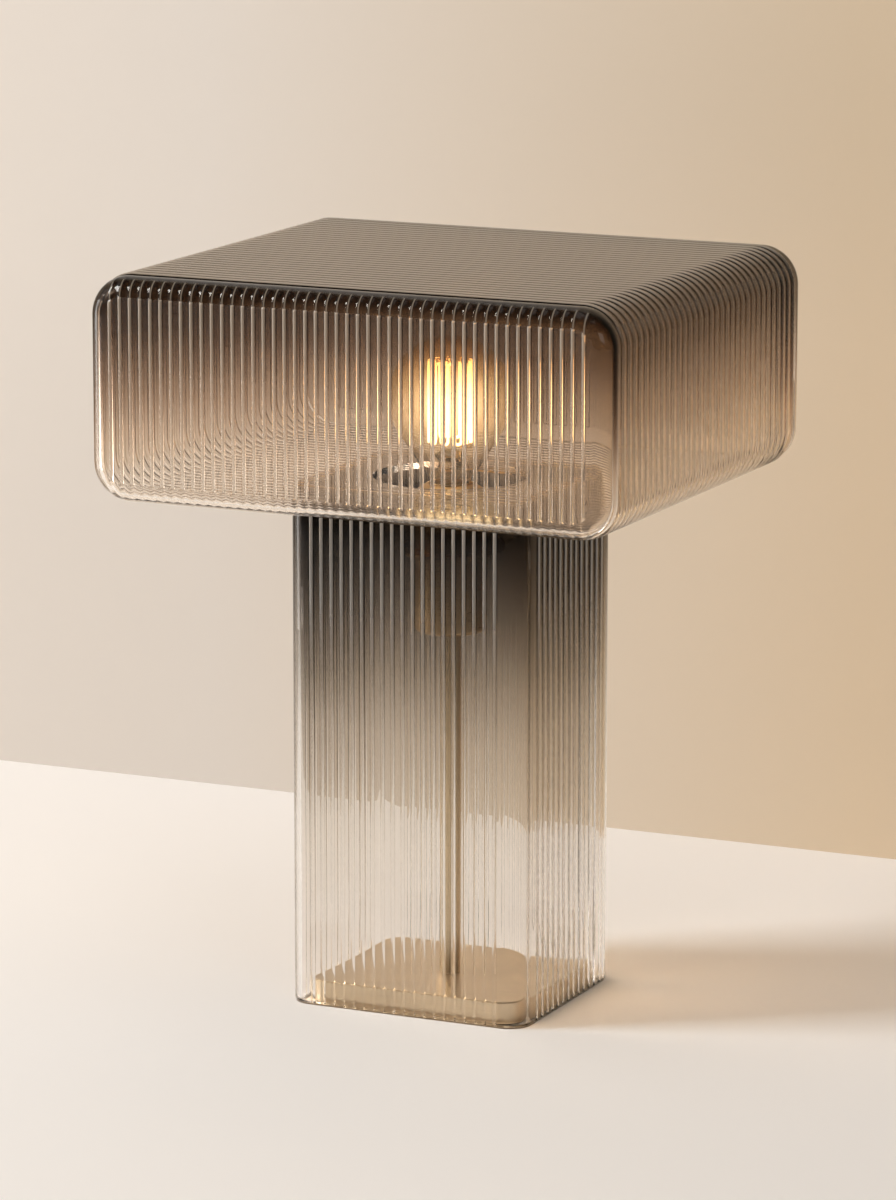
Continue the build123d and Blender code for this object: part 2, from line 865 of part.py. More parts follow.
def lead_wire(index):
    """One lead, from the glass mount out and up to an end of the filament."""
    with BuildPart() as wire:
        with BuildLine() as route:
            FilletPolyline(
                cage_point(index, mount_top, lead_wire_place),
                cage_point(index, mount_top + lead_wire_rise, lead_wire_place),
                cage_point(index, mount_top + lead_wire_rise),
                cage_point(index, cage_bottom),
                radius=lead_wire_bend,
            )
        with BuildSketch(Plane(origin=route.line @ 0, z_dir=route.line % 0)):
            Circle(lead_wire_radius)
        sweep(path=route.wire())
    return wire


with BuildPart() as lead_wires:
    add(lead_wire(0).part)
    add(lead_wire(filament_uprights - 1).part)
save(lead_wires, "lead_wires")

save(support_wires(cage_top + support_hub_height / 2, support_hub_radius, 0), "upper_supports")
save(support_wires(cage_bottom, post_radius, 1), "lower_supports")
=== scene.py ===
import bpy
import math
from mathutils import Matrix, Vector


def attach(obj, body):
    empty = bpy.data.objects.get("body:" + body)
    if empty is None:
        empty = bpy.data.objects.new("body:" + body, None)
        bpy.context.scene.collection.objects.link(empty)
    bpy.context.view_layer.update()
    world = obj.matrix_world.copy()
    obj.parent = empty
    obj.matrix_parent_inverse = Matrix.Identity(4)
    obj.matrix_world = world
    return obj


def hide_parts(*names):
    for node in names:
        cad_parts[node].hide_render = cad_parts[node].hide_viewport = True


# Column table lamp, in metres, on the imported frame
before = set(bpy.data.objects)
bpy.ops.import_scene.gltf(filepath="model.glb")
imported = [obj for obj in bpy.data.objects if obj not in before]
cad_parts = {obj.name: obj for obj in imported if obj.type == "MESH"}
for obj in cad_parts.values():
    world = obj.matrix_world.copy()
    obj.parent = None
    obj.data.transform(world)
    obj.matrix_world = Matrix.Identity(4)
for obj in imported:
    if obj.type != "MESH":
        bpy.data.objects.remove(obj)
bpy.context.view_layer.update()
scene = bpy.context.scene
print("frame loaded,", len(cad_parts), "nodes")

mm = 0.001  # the sizes below are in millimetres
workLayers = ("across", "pitch", "beadOn", "shown", "narrow", "outward")


# Small helpers for meshes and node trees
def meshPiece(name, points, faces, smoothAngle=None):
    mesh = bpy.data.meshes.new(name)
    mesh.from_pydata([(x * mm, y * mm, z * mm) for x, y, z in points], [], faces)
    mesh.update()
    mesh.shade_smooth()
    if smoothAngle:
        mesh.set_sharp_from_angle(angle=math.radians(smoothAngle))
    piece = bpy.data.objects.new(name, mesh)
    scene.collection.objects.link(piece)
    return piece


def storeValues(piece, name, values):
    layer = piece.data.attributes.new(name, "FLOAT", "POINT")
    layer.data.foreach_set("value", values)


def storeVectors(piece, name, vectors):
    layer = piece.data.attributes.new(name, "FLOAT_VECTOR", "POINT")
    layer.data.foreach_set("vector", [c for v in vectors for c in v])


def addModifierTree(piece, tree, values):
    modifier = piece.modifiers.new(tree.name, "NODES")
    modifier.node_group = tree
    for item in tree.interface.items_tree:
        if item.item_type == "SOCKET" and item.in_out == "INPUT" and item.name in values:
            modifier[item.identifier] = values[item.name]
    return modifier


def makePlain(piece, smoothAngle=None):
    # the evaluated shape becomes the piece's own mesh, and no modifier is left on it
    bpy.context.view_layer.update()
    graph = bpy.context.evaluated_depsgraph_get()
    mesh = bpy.data.meshes.new_from_object(piece.evaluated_get(graph), depsgraph=graph)
    piece.modifiers.clear()
    piece.data = mesh
    for name in workLayers:
        if name in mesh.attributes:
            mesh.attributes.remove(mesh.attributes[name])
    if smoothAngle:
        mesh.set_sharp_from_angle(angle=math.radians(smoothAngle))
    return piece


def fill(tree, socket, value):
    if isinstance(value, bpy.types.NodeSocket):
        tree.links.new(value, socket)
    else:
        socket.default_value = value


def calc(tree, operation, a, b=0.0, clamp=False):
    node = tree.nodes.new("ShaderNodeMath")
    node.operation = operation
    node.use_clamp = clamp
    for socket, value in zip(node.inputs, (a, b)):
        fill(tree, socket, value)
    return node.outputs[0]


def vectorCalc(tree, operation, a, b=None, scale=None):
    node = tree.nodes.new("ShaderNodeVectorMath")
    node.operation = operation
    fill(tree, node.inputs[0], a)
    if b is not None:
        fill(tree, node.inputs[1], b)
    if scale is not None:
        fill(tree, node.inputs["Scale"], scale)
    return node.outputs["Vector"]


def remap(tree, value, low, high, fromLow=0.0, fromHigh=1.0, smooth=False):
    node = tree.nodes.new("ShaderNodeMapRange")
    if smooth:
        node.interpolation_type = "SMOOTHSTEP"
    tree.links.new(value, node.inputs["Value"])
    for name, number in (("From Min", fromLow), ("From Max", fromHigh), ("To Min", low), ("To Max", high)):
        node.inputs[name].default_value = number
    return node.outputs["Result"]


def placeAlong(tree, axis, output="Object"):
    place = tree.nodes.new("ShaderNodeTexCoord")
    split = tree.nodes.new("ShaderNodeSeparateXYZ")
    tree.links.new(place.outputs[output], split.inputs[0])
    return split.outputs[axis]


def mixColours(tree, factor, first, second):
    node = tree.nodes.new("ShaderNodeMix")
    node.data_type = "RGBA"
    for name, value in (("Factor", factor), (6, first), (7, second)):  # 6 and 7 are its colours
        fill(tree, node.inputs[name], value)
    return node.outputs[2]


def mixShaders(tree, factor, first, second):
    node = tree.nodes.new("ShaderNodeMixShader")
    for socket, value in zip(node.inputs, (factor, first, second)):
        tree.links.new(value, socket)
    return node.outputs["Shader"]


def groupSockets(tree, inputs, outputs):
    for name, kind, start in inputs:
        socket = tree.interface.new_socket(name, in_out="INPUT", socket_type=kind)
        if start is not None:
            socket.default_value = start
    for name, kind in outputs:
        tree.interface.new_socket(name, in_out="OUTPUT", socket_type=kind)
    return tree.nodes.new("NodeGroupInput"), tree.nodes.new("NodeGroupOutput")


def endTree(tree, shape, start, end):
    # every Geometry Nodes tree ends in plain, painted geometry
    realize = tree.nodes.new("GeometryNodeRealizeInstances")
    tree.links.new(shape, realize.inputs["Geometry"])
    painted = tree.nodes.new("GeometryNodeSetMaterial")
    tree.links.new(realize.outputs["Geometry"], painted.inputs["Geometry"])
    tree.links.new(start.outputs["Material"], painted.inputs["Material"])
    tree.links.new(painted.outputs["Geometry"], end.inputs["Geometry"])
    return tree


# Geometry Nodes: half-round beads that stand out of a smooth glass wall
def beadRows():
    tree = bpy.data.node_groups.new("beadRows", "GeometryNodeTree")
    tree.is_modifier = True
    start, end = groupSockets(
        tree,
        [("Geometry", "NodeSocketGeometry", None), ("Bead Radius", "NodeSocketFloat", 0.0014),
         ("Bead Height", "NodeSocketFloat", 0.0012), ("Material", "NodeSocketMaterial", None)],
        [("Geometry", "NodeSocketGeometry")])

    def store(geometry, name, value):
        node = tree.nodes.new("GeometryNodeStoreNamedAttribute")
        node.data_type = "FLOAT"
        node.domain = "POINT"
        node.inputs["Name"].default_value = name
        tree.links.new(geometry, node.inputs["Geometry"])
        tree.links.new(value, node.inputs["Value"])
        return node.outputs["Geometry"]

    def attribute(name, kind):
        node = tree.nodes.new("GeometryNodeInputNamedAttribute")
        node.data_type = kind
        node.inputs["Name"].default_value = name
        return node.outputs["Attribute"]

    pitch = attribute("pitch", "FLOAT")
    turns = calc(tree, "DIVIDE", attribute("across", "FLOAT"), pitch)
    offCentre = calc(tree, "MULTIPLY", calc(tree, "SUBTRACT", turns, calc(tree, "ROUND", turns)), pitch)
    radius, height = start.outputs["Bead Radius"], start.outputs["Bead Height"]
    square = calc(tree, "MULTIPLY", radius, radius)
    base = calc(tree, "SUBTRACT", radius, height)  # from the bead's centre to the wall
    inside = calc(tree, "SUBTRACT", square, calc(tree, "MULTIPLY", offCentre, offCentre))
    arc = calc(tree, "SQRT", calc(tree, "MAXIMUM", inside, 0.0))
    rise = calc(tree, "MAXIMUM", calc(tree, "SUBTRACT", arc, base), 0.0)
    rise = calc(tree, "MULTIPLY", rise, attribute("beadOn", "FLOAT"))
    halfWidth = calc(tree, "SQRT", calc(tree, "SUBTRACT", square, calc(tree, "MULTIPLY", base, base)))
    ratio = calc(tree, "DIVIDE", calc(tree, "ABSOLUTE", offCentre), halfWidth)
    ratio = calc(tree, "MULTIPLY", ratio, attribute("narrow", "FLOAT"))
    crown = remap(tree, ratio, 1.0, 0.0, 0.78, 0.95, smooth=True)
    shown = attribute("shown", "FLOAT")
    # masks for painted light: ribRatio and ribStrength place the painted groove shade, ribCrown the painted
    # highlight on the bead crowns
    geometry = store(start.outputs["Geometry"], "ribRatio", ratio)
    geometry = store(geometry, "ribStrength", shown)
    geometry = store(geometry, "ribCrown", calc(tree, "MULTIPLY", crown, shown))
    move = vectorCalc(tree, "SCALE", attribute("outward", "FLOAT_VECTOR"), scale=rise)

    moved = tree.nodes.new("GeometryNodeSetPosition")
    tree.links.new(geometry, moved.inputs["Geometry"])
    tree.links.new(move, moved.inputs["Offset"])
    return endTree(tree, moved.outputs["Geometry"], start, end)


# Geometry Nodes: round wire along a path of straight runs with rounded bends
def bentWire():
    tree = bpy.data.node_groups.new("bentWire", "GeometryNodeTree")
    tree.is_modifier = True
    start, end = groupSockets(
        tree,
        [("Geometry", "NodeSocketGeometry", None), ("Wire Radius", "NodeSocketFloat", 0.0005),
         ("Bend Radius", "NodeSocketFloat", 0.002), ("Material", "NodeSocketMaterial", None)],
        [("Geometry", "NodeSocketGeometry")])
    path = tree.nodes.new("GeometryNodeMeshToCurve")
    tree.links.new(start.outputs["Geometry"], path.inputs["Mesh"])
    bends = tree.nodes.new("GeometryNodeFilletCurve")
    bends.mode = "POLY"
    bends.inputs["Count"].default_value = 7
    bends.inputs["Limit Radius"].default_value = True
    tree.links.new(path.outputs["Curve"], bends.inputs["Curve"])
    tree.links.new(start.outputs["Bend Radius"], bends.inputs["Radius"])
    ring = tree.nodes.new("GeometryNodeCurvePrimitiveCircle")
    ring.inputs["Resolution"].default_value = 12
    tree.links.new(start.outputs["Wire Radius"], ring.inputs["Radius"])
    tube = tree.nodes.new("GeometryNodeCurveToMesh")
    tube.inputs["Fill Caps"].default_value = True
    tree.links.new(bends.outputs["Curve"], tube.inputs["Curve"])
    tree.links.new(ring.outputs["Curve"], tube.inputs["Profile Curve"])
    return endTree(tree, tube.outputs["Mesh"], start, end)


# Shader groups that several finishes share
def grainGroup():
    # brush marks: long thin streaks, given as a height and a mask
    tree = bpy.data.node_groups.new("brushGrain", "ShaderNodeTree")
    start, end = groupSockets(
        tree,
        [("Stretch", "NodeSocketVector", (20.0, 4000.0, 4000.0)), ("Patch Scale", "NodeSocketFloat", 40.0)],
        [("Streaks", "NodeSocketFloat"), ("Patches", "NodeSocketFloat")])
    place = tree.nodes.new("ShaderNodeTexCoord")
    stretched = vectorCalc(tree, "MULTIPLY", place.outputs["Object"], start.outputs["Stretch"])
    streaks = tree.nodes.new("ShaderNodeTexNoise")
    streaks.inputs["Scale"].default_value = 1.0
    streaks.inputs["Detail"].default_value = 4.0
    streaks.inputs["Roughness"].default_value = 0.65
    tree.links.new(stretched, streaks.inputs["Vector"])
    patches = tree.nodes.new("ShaderNodeTexNoise")
    patches.inputs["Detail"].default_value = 3.0
    tree.links.new(place.outputs["Object"], patches.inputs["Vector"])
    tree.links.new(start.outputs["Patch Scale"], patches.inputs["Scale"])
    tree.links.new(streaks.outputs["Fac"], end.inputs["Streaks"])
    tree.links.new(patches.outputs["Fac"], end.inputs["Patches"])
    return tree


def wearGroup():
    # fine speckle and soft marks for moulded, glazed and coated surfaces
    tree = bpy.data.node_groups.new("softWear", "ShaderNodeTree")
    start, end = groupSockets(
        tree,
        [("Speckle Scale", "NodeSocketFloat", 1800.0), ("Mark Scale", "NodeSocketFloat", 90.0)],
        [("Speckle", "NodeSocketFloat"), ("Marks", "NodeSocketFloat")])
    place = tree.nodes.new("ShaderNodeTexCoord")
    speckle = tree.nodes.new("ShaderNodeTexNoise")
    speckle.inputs["Detail"].default_value = 2.0
    marks = tree.nodes.new("ShaderNodeTexNoise")
    marks.inputs["Detail"].default_value = 5.0
    marks.inputs["Distortion"].default_value = 0.4
    for node, name in ((speckle, "Speckle Scale"), (marks, "Mark Scale")):
        tree.links.new(place.outputs["Object"], node.inputs["Vector"])
        tree.links.new(start.outputs[name], node.inputs["Scale"])
    tree.links.new(speckle.outputs["Fac"], end.inputs["Speckle"])
    tree.links.new(marks.outputs["Fac"], end.inputs["Marks"])
    return tree


def heightGroup():
    # 0 at one height of the lamp and 1 at another, to fade a tint up the glass
    tree = bpy.data.node_groups.new("heightFade", "ShaderNodeTree")
    start, end = groupSockets(
        tree,
        [("Low", "NodeSocketFloat", 0.0), ("High", "NodeSocketFloat", 0.4)],
        [("Fade", "NodeSocketFloat")])
    above = calc(tree, "SUBTRACT", placeAlong(tree, "Z"), start.outputs["Low"])
    span = calc(tree, "SUBTRACT", start.outputs["High"], start.outputs["Low"])
    tree.links.new(calc(tree, "DIVIDE", above, span, clamp=True), end.inputs["Fade"])
    return tree


def grooveShadeGroup():
    # mask over a ribbed wall: the groove along the foot of each bead, where painted shade darkens the glass
    tree = bpy.data.node_groups.new("grooveShadeMask", "ShaderNodeTree")
    start, end = groupSockets(
        tree,
        [("Ratio", "NodeSocketFloat", 9.0), ("Strength", "NodeSocketFloat", 0.0)],
        [("Groove", "NodeSocketFloat")])

    ratio = start.outputs["Ratio"]  # 0 on the crown of a bead, 1 at its foot
    foot = calc(tree, "MULTIPLY", remap(tree, ratio, 0.0, 1.0, 0.82, 0.95, smooth=True),
                remap(tree, ratio, 1.0, 0.0, 1.15, 1.4, smooth=True))
    full = calc(tree, "MULTIPLY", start.outputs["Strength"], 3.0, clamp=True)
    tree.links.new(calc(tree, "MULTIPLY", foot, full), end.inputs["Groove"])
    return tree


brushGrain = grainGroup()
softWear = wearGroup()
heightFade = heightGroup()
grooveShadeMask = grooveShadeGroup()


def useGroup(tree, group, values):
    node = tree.nodes.new("ShaderNodeGroup")
    node.node_tree = group
    for name, value in values.items():
        fill(tree, node.inputs[name], value)
    return node


def ramp(tree, value, stops):
    node = tree.nodes.new("ShaderNodeValToRGB")
    tree.links.new(value, node.inputs["Fac"])
    points = node.color_ramp.elements
    while len(points) < len(stops):
        points.new(0.5)
    for point, (place, colour) in zip(points, stops):
        point.position = place
        point.color = (*colour, 1.0)
    return node.outputs["Color"]


def newFinish(name):
    material = bpy.data.materials.new(name)
    material.use_nodes = True
    tree = material.node_tree
    return material, tree, tree.nodes["Principled BSDF"]


def showSurface(tree, surface):
    tree.links.new(surface, tree.nodes["Material Output"].inputs["Surface"])


def storedValue(tree, name):
    node = tree.nodes.new("ShaderNodeAttribute")
    node.attribute_name = name
    return node.outputs["Fac"]


def addBump(tree, shader, height, strength, distance):
    bump = tree.nodes.new("ShaderNodeBump")
    bump.inputs["Strength"].default_value = strength
    bump.inputs["Distance"].default_value = distance
    tree.links.new(height, bump.inputs["Height"])
    tree.links.new(bump.outputs["Normal"], shader.inputs["Normal"])


# Painted glow: the bulb glass itself emits a warm haze over its middle and a thin gold line at its rim,
# standing in for the lit wire's light
def paintedBulbGlow(tree, fade):
    facing = tree.nodes.new("ShaderNodeLayerWeight")
    facing.inputs["Blend"].default_value = 0.5
    glowColour = ramp(tree, facing.outputs["Facing"], [
        (0.0, (0.84, 0.70, 0.45)), (0.05, (0.70, 0.55, 0.33)), (0.1, (0.36, 0.26, 0.13)),
        (0.22, (0.13, 0.09, 0.04)), (0.6, (0.02, 0.014, 0.006)), (0.88, (0.05, 0.035, 0.015)),
        (1.0, (0.42, 0.29, 0.13))])
    level = remap(tree, fade, 0.0, 1.0, 0.04, 0.3, smooth=True)
    return vectorCalc(tree, "SCALE", glowColour, scale=level)


# Painted shade: the tint is darkened in the grooves beside the beads, standing in for the dark lines their
# steep sides show
def paintedGrooveShade(tree, tint):
    marks = useGroup(tree, grooveShadeMask, {
        "Ratio": storedValue(tree, "ribRatio"), "Strength": storedValue(tree, "ribStrength")})
    shadedTint = tree.nodes.new("ShaderNodeGamma")
    tree.links.new(tint, shadedTint.inputs["Color"])
    shadedTint.inputs["Gamma"].default_value = 3.2
    return mixColours(tree, marks.outputs["Groove"], tint, shadedTint.outputs["Color"])


# Painted highlight: the crowns of the beads are mixed with a pale diffuse surface, seen as pale strips by
# the camera only, standing in for the light they catch
def paintedHighlightStrips(tree, surface, path, amount, colour):
    strip = tree.nodes.new("ShaderNodeBsdfPrincipled")
    strip.inputs["Base Color"].default_value = (*colour, 1.0)
    strip.inputs["Roughness"].default_value = 0.22
    near = calc(tree, "MULTIPLY", path.outputs["Is Camera Ray"], calc(tree, "MAXIMUM", amount, 0.03))
    crown = calc(tree, "MULTIPLY", storedValue(tree, "ribCrown"), near)
    return mixShaders(tree, crown, surface, strip.outputs["BSDF"])


# Glass with a tint that fades from one height to another; lamps shine through it and cast a tinted shadow
def fadedGlass(name, low, high, stops, ior=1.46, roughness=0.0, clear=1.0, paintedHalo=False, beads=None,
               paintedLight=(0.93, 0.92, 0.90), cast=(0.93, 0.90, 0.85)):
    material, tree, shader = newFinish(name)
    fade = useGroup(tree, heightFade, {"Low": low * mm, "High": high * mm}).outputs["Fade"]
    tint = ramp(tree, fade, stops)
    shader.inputs["Transmission Weight"].default_value = clear
    shader.inputs["IOR"].default_value = ior
    wear = useGroup(tree, softWear, {"Speckle Scale": 260.0, "Mark Scale": 9.0})
    uneven = remap(tree, wear.outputs["Marks"], roughness, roughness + 0.012)
    tree.links.new(uneven, shader.inputs["Roughness"])
    path = tree.nodes.new("ShaderNodeLightPath")
    surface = shader.outputs["BSDF"]
    if paintedHalo:
        tree.links.new(paintedBulbGlow(tree, fade), shader.inputs["Emission Color"])
        shader.inputs["Emission Strength"].default_value = 1.0
    # ribbed glass: painted shade in the grooves and painted highlights on the crowns, the highlights going
    # from the first given amount at the low height to the second at the high height
    if beads:
        shader.inputs["Specular Tint"].default_value = (0.5, 0.5, 0.5, 1.0)
        tint = paintedGrooveShade(tree, tint)
        amount = remap(tree, placeAlong(tree, "Z"), *beads, low * mm, high * mm)
        surface = paintedHighlightStrips(tree, surface, path, amount, paintedLight)
    tree.links.new(tint, shader.inputs["Base Color"])
    through = tree.nodes.new("ShaderNodeBsdfTransparent")
    through.inputs["Color"].default_value = (*cast, 1.0)
    showSurface(tree, mixShaders(tree, path.outputs["Is Shadow Ray"], surface, through.outputs["BSDF"]))
    return material


def brushedMetal(name, colour, roughness, stretch, depth=0.25, metallic=1.0):
    material, tree, shader = newFinish(name)
    shader.inputs["Metallic"].default_value = metallic
    grain = useGroup(tree, brushGrain, {"Stretch": stretch, "Patch Scale": 38.0})
    dark = tuple(c * 0.82 for c in colour)
    light = tuple(min(1.0, c * 1.1) for c in colour)
    mixed = calc(tree, "ADD", calc(tree, "MULTIPLY", grain.outputs["Streaks"], 0.6),
                 calc(tree, "MULTIPLY", grain.outputs["Patches"], 0.4))
    tree.links.new(ramp(tree, mixed, [(0.3, dark), (0.7, light)]), shader.inputs["Base Color"])
    tree.links.new(remap(tree, grain.outputs["Streaks"], roughness * 0.7, roughness * 1.3),
                   shader.inputs["Roughness"])
    addBump(tree, shader, grain.outputs["Streaks"], depth, 0.0001)
    return material


def coatedSurface(name, colour, roughness, speckle=1800.0, marks=90.0, bump=0.15, metallic=0.0,
                  spread=0.12, coat=0.0, depth=0.0002):
    material, tree, shader = newFinish(name)
    wear = useGroup(tree, softWear, {"Speckle Scale": speckle, "Mark Scale": marks})
    dark = tuple(c * (1 - spread) for c in colour)
    light = tuple(min(1.0, c * (1 + spread)) for c in colour)
    tree.links.new(ramp(tree, wear.outputs["Marks"], [(0.35, dark), (0.65, light)]),
                   shader.inputs["Base Color"])
    tree.links.new(remap(tree, wear.outputs["Marks"], roughness * 0.75, min(1.0, roughness * 1.25)),
                   shader.inputs["Roughness"])
    shader.inputs["Metallic"].default_value = metallic
    shader.inputs["Coat Weight"].default_value = coat
    addBump(tree, shader, wear.outputs["Speckle"], bump, depth)
    return material


# Finishes; glass fades between two heights of the lamp
shadeGlass = fadedGlass("shadeGlass", 336, 479, [
    (0.04, (0.96, 0.92, 0.87)), (0.27, (0.88, 0.79, 0.70)), (0.50, (0.58, 0.48, 0.40)),
    (0.78, (0.23, 0.165, 0.12)), (1.0, (0.13, 0.095, 0.07))],
    beads=(0.08, 0.31), paintedLight=(0.96, 0.81, 0.64), cast=(0.56, 0.48, 0.39))
columnGlass = fadedGlass("columnGlass", 20, 330, [
    (0.0, (0.98, 0.97, 0.96)), (0.29, (0.90, 0.88, 0.85)), (0.53, (0.74, 0.71, 0.67)),
    (0.64, (0.55, 0.52, 0.48)), (0.77, (0.34, 0.31, 0.28)), (0.87, (0.17, 0.15, 0.13)),
    (0.955, (0.06, 0.05, 0.042)), (1.0, (0.34, 0.29, 0.24))], beads=(-0.9, 0.5), ior=1.33,
    cast=(0.66, 0.57, 0.45))
bulbGlass = fadedGlass("bulbGlass", 350, 431, [
    (0.0, (0.99, 0.96, 0.90)), (0.55, (0.98, 0.93, 0.84)), (0.85, (0.93, 0.80, 0.62)),
    (1.0, (0.80, 0.58, 0.36))], paintedHalo=True)
clearGlass = fadedGlass("clearGlass", 320, 440, [(0.0, (0.97, 0.95, 0.90)), (1.0, (0.96, 0.93, 0.86))])
clearSilicone = fadedGlass("clearSilicone", 0, 340, [(0.0, (0.66, 0.59, 0.51)), (1.0, (0.82, 0.64, 0.42))],
                           ior=1.41, roughness=0.12)
# the gold tint of the mouth rings is partly painted: a painted warm glint from the bulb, while the wire's
# real light also reaches these half-clear rings
mouthSilicone = fadedGlass("mouthSilicone", 300, 345, [(0.0, (0.96, 0.76, 0.46)), (1.0, (1.0, 0.82, 0.52))],
                           ior=1.41, roughness=0.25, clear=0.45)
champagnePlate = brushedMetal("champagnePlate", (0.76, 0.62, 0.44), 0.34, (25.0, 2600.0, 2600.0))
champagneStem = brushedMetal("champagneStem", (0.66, 0.53, 0.36), 0.28, (2600.0, 2600.0, 12.0))
champagneHolder = brushedMetal("champagneHolder", (0.90, 0.70, 0.45), 0.3, (60.0, 60.0, 2600.0))
champagneTop = brushedMetal("champagneTop", (0.84, 0.64, 0.36), 0.42, (60.0, 60.0, 2600.0), metallic=0.7)
zincSteel = brushedMetal("zincSteel", (0.62, 0.61, 0.59), 0.32, (900.0, 900.0, 200.0))
contactBrass = brushedMetal("contactBrass", (0.78, 0.60, 0.30), 0.25, (300.0, 300.0, 1500.0))
capMetal = brushedMetal("capMetal", (0.80, 0.70, 0.48), 0.26, (200.0, 200.0, 1800.0))
supportMetal = brushedMetal("supportMetal", (0.72, 0.56, 0.30), 0.25, (900.0, 900.0, 900.0))
tinSolder = coatedSurface("tinSolder", (0.66, 0.66, 0.66), 0.3, metallic=1.0, marks=400.0)
porcelain = coatedSurface("porcelain", (0.86, 0.85, 0.81), 0.18, spread=0.04, coat=0.6)
blackRubber = coatedSurface("blackRubber", (0.03, 0.03, 0.03), 0.7, speckle=2600.0, bump=0.4)
pressedFelt = coatedSurface("pressedFelt", (0.10, 0.092, 0.085), 0.95, speckle=3200.0, bump=0.9,
                            spread=0.3, marks=500.0, depth=0.0005)
brownInsulation = coatedSurface("brownInsulation", (0.20, 0.09, 0.045), 0.45)
blueInsulation = coatedSurface("blueInsulation", (0.05, 0.13, 0.36), 0.45)
whitePlastic = coatedSurface("whitePlastic", (0.80, 0.79, 0.75), 0.4, spread=0.05)
blackGlass = coatedSurface("blackGlass", (0.02, 0.02, 0.024), 0.1, coat=0.5)


# Lit wire; mirrored in the shade's flat glass it is only a faint glint
glow = {"colour": (1.0, 0.73, 0.38), "strength": 7.0, "mirrored": 0.15}


def hotWire():
    material, tree, shader = newFinish("hotWire")
    wear = useGroup(tree, softWear, {"Speckle Scale": 2200.0, "Mark Scale": 60.0})
    shader.inputs["Base Color"].default_value = (0.9, 0.7, 0.4, 1.0)
    shader.inputs["Roughness"].default_value = 0.5
    hot = glow["colour"]
    cool = (hot[0] * 0.85, hot[1] * 0.75, hot[2] * 0.6)
    tree.links.new(ramp(tree, wear.outputs["Marks"], [(0.3, cool), (0.6, hot)]),
                   shader.inputs["Emission Color"])
    shader.inputs["Emission Strength"].default_value = glow["strength"]
    path = tree.nodes.new("ShaderNodeLightPath")
    cold = tree.nodes.new("ShaderNodeBsdfDiffuse")
    cold.inputs["Color"].default_value = (0.02, 0.015, 0.01, 1.0)
    mirrored = calc(tree, "MINIMUM", path.outputs["Glossy Depth"], 1.0)
    dimmed = calc(tree, "MULTIPLY", mirrored, 1.0 - glow["mirrored"])
    showSurface(tree, mixShaders(tree, dimmed, shader.outputs["BSDF"], cold.outputs["BSDF"]))
    return material


hotFilament = hotWire()

nodeFinish = {
    "column_foot_ring": clearSilicone, "column_top_gasket": mouthSilicone, "locating_ring": mouthSilicone,
    "base_plate": champagnePlate, "stem_tube": champagneStem, "holder_cup": champagneHolder,
    "holder_collar": champagneHolder, "holder_disc": champagneHolder, "holder_sleeve": champagneTop,
    "holder_saucer": champagneTop, "base_felt": pressedFelt, "cord_grommet": blackRubber,
    "base_washer": zincSteel, "base_nut": zincSteel, "cup_washer": zincSteel, "cup_nut": zincSteel,
    "threaded_tube": zincSteel, "holder_bracket": zincSteel, "bracket_screws": zincSteel,
    "terminal_screws": zincSteel, "porcelain_insert": porcelain, "screw_shell": contactBrass,
    "centre_contact": contactBrass, "terminals": contactBrass, "live_wire": brownInsulation,
    "neutral_wire": blueInsulation, "cord_terminal_block": whitePlastic, "bulb_cap": capMetal,
    "bulb_insulator": blackGlass, "bulb_tip_contact": tinSolder, "glass_mount": clearGlass,
    "filament_post": clearGlass, "upper_supports": supportMetal, "lower_supports": supportMetal,
    "lead_wires": supportMetal,
}
for name, material in nodeFinish.items():
    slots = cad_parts[name].data.materials
    slots.clear()
    slots.append(material)
print("finishes made,", len(bpy.data.materials), "materials")


# Places across a wall with beads on it: close together over each bead, none needed between
def beadPlaces(flat, pitch, radius, height, steps=12):
    count = int(flat / pitch)
    reach = math.acos((radius - height) / radius)
    places = [-flat / 2, flat / 2]
    for index in range(count):
        middle = (index - (count - 1) / 2) * pitch
        places += [middle + radius * math.sin(reach * (2 * step / steps - 1)) for step in range(steps + 1)]
        if index < count - 1:
            places.append(middle + pitch / 2)
    shift = 0.0 if count % 2 else pitch / 2
    return sorted(places), count, shift


def beadValues(place, count, pitch, shift):
    return (place + shift) * mm, pitch * mm, 1.0 if abs(place) <= count * pitch / 2 else 0.0


beadTree = beadRows()
wireTree = bentWire()


# A wall keeps, for each of its points, what the bead tree reads: how far along the row of beads it lies,
# their pitch, how much they stand out, how strong their painted highlight and painted groove shade are, how
# narrow they look, and where outwards is
def emptyWall():
    return {name: [] for name in ("point", *workLayers)}


def addPoint(wall, point, outward, across=0.0, pitch=1.0, beadOn=0.0, shown=0.0, narrow=1.0):
    for name, value in zip(wall, (point, across, pitch, beadOn, shown, narrow, outward)):
        wall[name].append(value)


def beadedPiece(name, wall, faces, beadRadius, beadHeight, material, smoothAngle=None):
    piece = meshPiece(name, wall["point"], faces)
    for layer in workLayers[:-1]:
        storeValues(piece, layer, wall[layer])
    storeVectors(piece, "outward", wall["outward"])
    addModifierTree(piece, beadTree, {
        "Bead Radius": beadRadius * mm, "Bead Height": beadHeight * mm, "Material": material})
    return makePlain(piece, smoothAngle)


# Glass column: one ribbed outline, carried up the wall and back down inside
columnSizes = {
    "width": 166.0, "depth": 147.0, "corner": 15.5, "wall": 4.5, "bottom": 1.0, "top": 333.2,
    "frontPitch": 7.1, "sidePitch": 8.3, "beadRadius": 1.4, "beadHeight": 1.2, "lip": 1.1,
    "notchRadius": 5.6, "notchAxis": 5.6,
}


